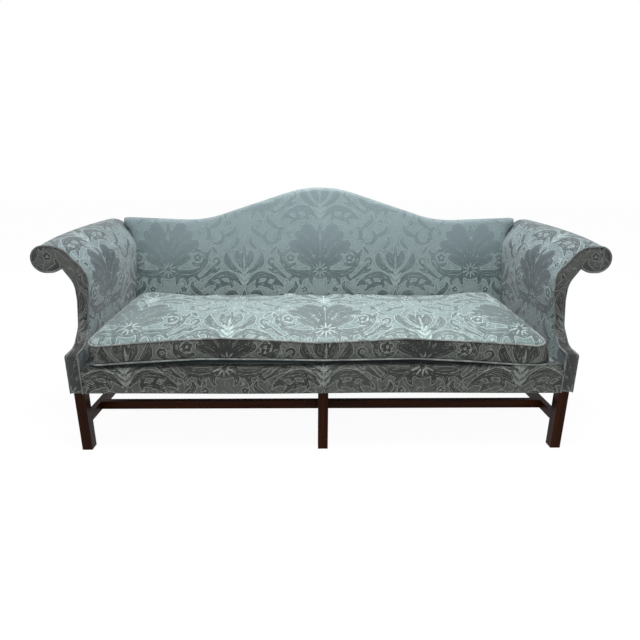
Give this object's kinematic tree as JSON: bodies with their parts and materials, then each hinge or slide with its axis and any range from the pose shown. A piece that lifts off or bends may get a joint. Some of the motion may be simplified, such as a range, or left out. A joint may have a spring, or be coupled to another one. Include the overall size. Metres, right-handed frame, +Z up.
{
  "type": "camelback sofa",
  "caption": "Camelback sofa with out-scrolled arms, one loose bench cushion and square stretchered legs; a sprung, upholstered hardwood frame to sit on.",
  "frame": {"origin": "on the floor below the middle of the sofa's box", "axes": "+X along the sofa to the right of someone who looks at its front, +Y from front to back, +Z up"},
  "size_m": [2.134, 0.8384, 0.951],
  "materials": {
    "mahogany": "dark stained mahogany, satin lacquer",
    "frame_hardwood": "raw hardwood",
    "damask": "blue-grey satin damask",
    "welt_cord": "self-piping of the same damask",
    "deck_cloth": "plain cotton over wadding",
    "filling": "wrapped cushion filling and wadding",
    "jute": "coarse jute",
    "black_cambric": "matt black cambric",
    "tape": "woven zipper tape",
    "steel": "oiled steel",
    "zipper_metal": "worn brass"
  },
  "bodies": {
    "sofa": {"arm_front_panel_left": "damask", "arm_front_panel_right": "damask", "arm_front_post_left": "frame_hardwood", "arm_front_post_right": "frame_hardwood", "arm_tack_rail_left": "frame_hardwood", "arm_tack_rail_right": "frame_hardwood", "arm_top_rail_left": "frame_hardwood", "arm_top_rail_right": "frame_hardwood", "arm_welt_left": "welt_cord", "arm_welt_right": "welt_cord", "back_burlap": "jute", "back_crest_rail": "frame_hardwood", "back_post_left": "frame_hardwood", "back_post_right": "frame_hardwood", "back_tack_rail": "frame_hardwood", "back_uprights": "frame_hardwood", "back_webbing": "jute", "block_screws": "steel", "centre_stretcher": "mahogany", "corner_blocks": "frame_hardwood", "deck_pad": "deck_cloth", "dust_cover": "black_cambric", "dust_cover_tacks": "steel", "frame_dowels": "frame_hardwood", "front_border": "damask", "front_edge_roll": "filling", "front_leg_centre": "mahogany", "front_leg_left": "mahogany", "front_leg_right": "mahogany", "front_seat_rail": "frame_hardwood", "inside_arm_left": "damask", "inside_arm_right": "damask", "inside_back": "damask", "long_stretcher_left": "mahogany", "long_stretcher_right": "mahogany", "outside_arm_left": "damask", "outside_arm_right": "damask", "outside_back": "damask", "rear_leg_centre": "mahogany", "rear_leg_left": "mahogany", "rear_leg_right": "mahogany", "rear_seat_rail": "frame_hardwood", "seat_burlap": "jute", "seat_cross_rails": "frame_hardwood", "seat_springs": "steel", "side_seat_rail_left": "frame_hardwood", "side_seat_rail_right": "frame_hardwood", "side_stretcher_left": "mahogany", "side_stretcher_right": "mahogany", "spring_clips": "steel"},
    "seat_cushion": {"cushion_bottom_panel": "damask", "cushion_boxing": "damask", "cushion_core": "filling", "cushion_top_panel": "damask", "cushion_welt_lower": "welt_cord", "cushion_welt_upper": "welt_cord", "zipper_tape": "tape"},
    "zipper_slider": {"zipper_slider": "zipper_metal"},
    "zipper_pull": {"zipper_pull": "zipper_metal"}
  },
  "joints": [
    {"name": "cushion_lift", "type": "slide", "parent": "sofa", "child": "seat_cushion", "axis": [0, 0, 1], "range_m": [0, 0.62]},
    {"name": "zipper_run", "type": "slide", "parent": "seat_cushion", "child": "zipper_slider", "axis": [-1, 0, 0], "range_m": [0, 1.5]},
    {"name": "zipper_pull_swing", "type": "hinge", "parent": "zipper_slider", "child": "zipper_pull", "pos_m": [0.731, 0.19372, 0.40149], "axis": [0, 0.274, 0.9617], "range_deg": [-24, 5]}
  ]
}
